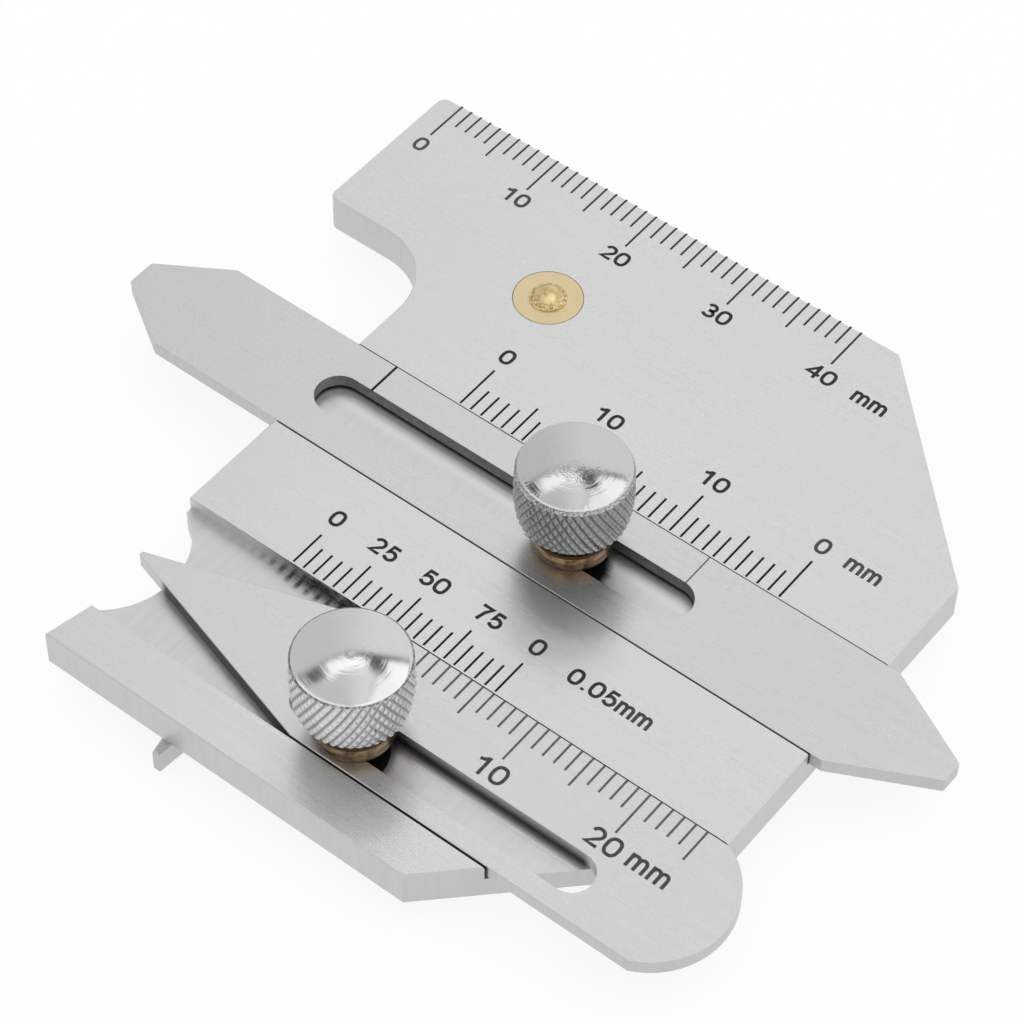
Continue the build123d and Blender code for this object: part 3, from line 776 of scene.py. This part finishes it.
# Each figure: its width and its paths, where 1 is the height of a capital.
FIGURES = {
    "0": (0.76, [round_box(0.38, 0.5, 0.30, 0.42, 2.5)]),
    "1": (0.71, [run((0.03, 0.74), (0.24, 0.79), (0.38, 0.93)), run((0.42, 1.0), (0.42, 0.0))]),
    "2": (0.74, [run(arc(0.37, 0.67, 0.27, 0.25, 168, -38), (0.10, 0.09), (0.68, 0.08))]),
    "3": (0.74, [run(arc(0.36, 0.70, 0.24, 0.22, 160, -90), arc(0.36, 0.28, 0.28, 0.21, 90, -160))]),
    "4": (0.82, [run((0.60, 0.90), (0.10, 0.31), (0.82, 0.31)), run((0.59, 1.0), (0.59, 0.0))]),
    "5": (0.74, [run((0.64, 0.92), (0.22, 0.92), (0.14, 0.50), arc(0.37, 0.35, 0.28, 0.27, 125, -155))]),
    "7": (0.72, [run((0.07, 0.92), (0.66, 0.92), (0.42, 0.55), (0.27, 0.0))]),
    ".": (0.34, [run((0.17, 0.0), (0.17, 0.16))]),
    "m": (
        0.98,
        [
            run((0.10, 0.76), (0.10, 0.0)),
            run((0.10, 0.46), arc(0.29, 0.50, 0.19, 0.19, 150, 10), (0.49, 0.45), (0.49, 0.0)),
            run((0.49, 0.46), arc(0.68, 0.50, 0.19, 0.19, 150, 10), (0.88, 0.45), (0.88, 0.0)),
        ],
    ),
}


def pen_line(path, width):
    """A flat line of that width along a path. At each point the two neighbouring directions give the mean
    sideways direction n, and the line's edges are point - n * width / 2 and point + n * width / 2, with
    width / 2 stretched at a bend so that the line stays as wide."""
    step = np.diff(path, axis=0)
    step /= np.linalg.norm(step, axis=1)[:, None]
    closed = np.allclose(path[0], path[-1])
    before = np.vstack([step[-1] if closed else step[0], step])
    after = np.vstack([step, step[0] if closed else step[-1]])
    side = np.stack([-(before + after)[:, 1], (before + after)[:, 0]], -1)
    side /= np.linalg.norm(side, axis=1)[:, None]
    square = np.stack([-before[:, 1], before[:, 0]], -1)
    stretch = 1 / np.clip((side * square).sum(1), 0.55, 1)
    sideways = side * (stretch * width / 2)[:, None]
    return path - sideways, path + sideways, closed


def write(text, centre, size, gap=0.1):
    """Points and faces of a line of figures about its centre. Each stroke is a closed bar that goes from
    FIGURE_DEPTH below the steel to FIGURE_LIFT above it. Each next stroke of a figure is STROKE_STEP higher,
    so that no two faces lie in one plane where they cross."""
    widths = [FIGURES[letter][0] * size for letter in text]
    total = sum(widths) + gap * size * (len(text) - 1)
    pen_x = centre[0] - total / 2
    points, faces, count = [], [], 0
    for letter, width in zip(text, widths):
        for stroke, path in enumerate(FIGURES[letter][1]):
            place = path * size + (pen_x, centre[1] - size / 2)
            right, left, closed = pen_line(place, PEN_WIDTH)
            top = PLATE_TOP + FIGURE_LIFT + STROKE_STEP * stroke
            ring = np.stack([right, left], 1)
            upper = np.concatenate([ring, np.full(ring.shape[:2] + (1,), top)], -1)
            lower = np.concatenate([ring, np.full(ring.shape[:2] + (1,), PLATE_TOP - FIGURE_DEPTH)], -1)
            section = np.stack([upper[:, 0], upper[:, 1], lower[:, 1], lower[:, 0]], 1)
            if closed:
                section = section[:-1]
            rows = len(section)
            number = count + np.arange(rows * 4).reshape(rows, 4)
            following = np.roll(number, -1, axis=0) if closed else number[1:]
            current = number if closed else number[:-1]
            for k in range(4):
                j = (k + 1) % 4
                sides = [current[:, j], current[:, k], following[:, k], following[:, j]]
                faces += np.stack(sides, -1).tolist()
            if not closed:
                faces += [number[0].tolist(), number[-1][::-1].tolist()]
            points.append(section.reshape(-1, 3))
            count += rows * 4
        pen_x += width + gap * size
    return np.concatenate(points), faces


def gather(labels):
    """Joins several written labels (text, x, y, size) into one set of points and faces.
    x and y are counted from the 40 mm scale's zero and the plate's scale edge, as on the drawing."""
    all_points, all_faces, count = [], [], 0
    for text, x, y, size in labels:
        points, faces = write(text, (x + SCALE_ZERO, y + SCALE_EDGE), size)
        all_points.append(points)
        all_faces += [[n + count for n in face] for face in faces]
        count += len(points)
    return np.concatenate(all_points), all_faces


def figure_sheen(x, y):
    """The figures are painted lighter grey at the edge scale's left end and at the other two scales' right
    ends, a painted sheen.
    """
    return x.ramp(0.0, -14.0) * (y > 0.0) * 0.05 + x.ramp(24.0, 32.0) * (y < 0.0) * 0.035


etch = filler("etched_figures", 5.0, 0.015, 0.05, 0.15, figure_sheen)
faded_etch = filler("faded_figures", 5.0, 0.045, 0.08, 0.15)

plate_labels = [
    ("0", 0.05, -5.52, 1.5),
    ("10", 9.89, -5.42, 1.5),
    ("20", 20.05, -5.54, 1.5),
    ("30", 30.04, -5.55, 1.5),
    ("40", 40.01, -5.56, 1.52),
    ("mm", 44.6, -5.56, 1.48),
    ("0", 20.0, -19.45, 1.5),
    ("10", 29.93, -19.47, 1.5),
    ("10", 39.93, -19.48, 1.5),
    ("0", 49.9, -19.5, 1.5),
    ("mm", 53.58, -19.46, 1.48),
    ("0", 20.07, -40.08, 1.5),
    ("25", 24.71, -40.15, 1.5),
    ("50", 29.5, -40.18, 1.5),
    ("75", 34.66, -40.19, 1.5),
    ("0", 39.1, -40.2, 1.5),
    ("0.05mm", 46.0, -40.55, 1.45),
]
slider_labels = [("10", 43.17, -50.83, 1.72), ("20", 53.06, -50.64, 1.72), ("mm", 56.86, -50.48, 1.68)]
piece("plate_figures", *gather(plate_labels), etch, "gauge_body", "plate_steel")
piece("slider_figures", *gather(slider_labels), faded_etch, "undercut_slider", "slider_steel")

# %% [markdown]
# ## Floor, light and camera
# A catalogue picture stands on pure white. The floor is white paper that mostly glows by itself for the
# camera and in reflections, so that it renders as white at a plain light level and keeps a trace of the
# shadow. The light is a white tent with no lamps: its wall is a little brighter behind and to the right,
# and its roof has a bright band, a dark seam, a dark pole and a dark curtain. Flat steel blurs all that to
# an even grey, and the knobs' domed crowns mirror it.

# %% White floor
PAPER_GLOW = 0.86
FLOOR_REACH = 3000.0
FLOOR_GAP = 0.02
paper = Finish("white_paper")
paper_x, paper_y, paper_z = paper.place()
fibre = paper.streaks(paper_x * 0.8, paper_y * 0.8, paper_z, detail=2.0)
paper.shade(Base_Color=paper.grey(fibre * 0.01 + 0.93), Roughness=0.9)
glow = paper.add("Emission", sockets={"Color": (1, 1, 1, 1), "Strength": 1.0})
seen, mirrored, through = (
    paper.add("LightPath", out=f"Is {kind} Ray") for kind in ("Camera", "Glossy", "Transmission")
)
share = seen.most(mirrored).most(through) * PAPER_GLOW
mixed = paper.add("MixShader", sockets={0: share, 1: Wire(paper, paper.shader.outputs[0]), 2: glow})
paper.feed(paper.tree.nodes["Material Output"].inputs["Surface"], mixed)
floor_data = bpy.data.meshes.new("floor")
corners = [(i * FLOOR_REACH, j * FLOOR_REACH, -FLOOR_GAP) for i, j in ((-1, -1), (1, -1), (1, 1), (-1, 1))]
floor_data.from_pydata((np.array(corners) * MM).tolist(), [], [(0, 1, 2, 3)])
floor_data.materials.append(paper.owner)
floor = bpy.data.objects.new("floor", floor_data)
bpy.context.scene.collection.objects.link(floor)
print("floor", 2 * FLOOR_REACH, "mm wide")

# %% A white tent for a world
TENT_SIDE = np.radians(60)
POLE_TURN = 119.5
CURTAIN_TURN = 154.0


def tent():
    """World light by direction, in degrees of turn (0 is +X, 90 is +Y) and climb above the floor.
    With q the cosine of the angle, seen from above, to the direction TENT_SIDE, the tent's wall goes from
    0.84 at q = 0.15 to 1.06 at q = 0.53. The roof is sewn on at a climb of 51 to 56 degrees, and this seam
    is a dark line. The roof is brighter than the wall, most of all in a band next to the seam. The band
    lies between two dark things: a pole that leans, with a thin dark edge beside it, and a curtain that
    hangs down. The camera itself sees plain white."""
    sky = Finish("white_tent", bpy.data.worlds)
    bpy.context.scene.world = sky.owner
    dx, dy, dz = sky.split(sky.add("TexCoord", out="Generated"))
    level = (dx * dx + dy * dy + 0.0001) ** 0.5
    side = (dx * float(np.cos(TENT_SIDE)) + dy * float(np.sin(TENT_SIDE))) / level
    wall = side.ramp(0.15, 0.53, 0.84, 1.06)
    turn = dy.math("ARCTAN2", dx) * float(np.degrees(1))
    climb = dz.math("ARCSINE") * float(np.degrees(1))
    seam = turn.ramp(118, 98, 53.8, 50.8) + turn.ramp(134, 156, 0.0, 2.6)
    above = climb - seam
    roof = above.ramp(0.0, 0.9)
    band_top = turn.ramp(122, 150, 58.2, 63.0)
    band = roof * (climb - band_top).ramp(0.8, -1.2) * turn.ramp(116, 120) * turn.ramp(151, 145) * 0.72
    right_side = roof * turn.ramp(114.5, 112) * 0.36
    left_side = roof * turn.ramp(160, 164) * 0.12
    glow = roof * turn.ramp(145, 125) * climb.ramp(64.0, 60.0, 0.04, 0.17)
    bright = wall + glow + band + right_side + left_side
    from_pole = abs(turn - POLE_TURN + (climb - 54.0) * 0.8)
    pole = from_pole.ramp(6.8, 3.4) * above.ramp(-1.2, 0.4) * climb.ramp(63.5, 58.0)
    edge = abs(turn - 114.5).ramp(1.6, 0.4) * above.ramp(0.0, 1.0) * 0.45
    curtain = abs(turn - CURTAIN_TURN).ramp(8.5, 3.5) * above.ramp(-1.0, 0.8) * climb.ramp(63.0, 60.5)
    line = abs(above).ramp(2.2, 0.3) * turn.ramp(140, 126, 0.4, 1.0) * turn.ramp(96, 112, 0.45, 1.0)
    light = bright * (1.0 - (pole * 0.93).most(curtain * 0.85).most(line * 0.8).most(edge))
    camera_ray = sky.add("LightPath", out="Is Camera Ray")
    background = sky.tree.nodes["Background"]
    background.inputs["Color"].default_value = (1, 1, 1, 1)
    sky.feed(background.inputs["Strength"], light + (1.0 - light) * camera_ray)
    print("the tent's wall goes from 0.84 to 1.06")


tent()

# %% Camera, as far and as long as the one that took the picture
camera_data = bpy.data.cameras.new("camera")
camera_data.lens = 122.17
camera_data.sensor_width = 36.0
camera_data.clip_start = 0.01
camera = bpy.data.objects.new("camera", camera_data)
right = Vector((0.7869, 0.6169, 0.0152)).normalized()
upward = Vector((-0.4866, 0.6051, 0.6301)).normalized()
backward = right.cross(upward).normalized()
upward = backward.cross(right)
turned_to = Matrix((right, upward, backward)).transposed().to_4x4()
turned_to.translation = Vector((109.96, -149.86, 207.92)) * MM
camera.matrix_world = turned_to
bpy.context.scene.collection.objects.link(camera)
bpy.context.scene.camera = camera
bpy.context.scene.view_settings.view_transform = "Standard"
print("camera at", [round(c / MM, 1) for c in camera.location])
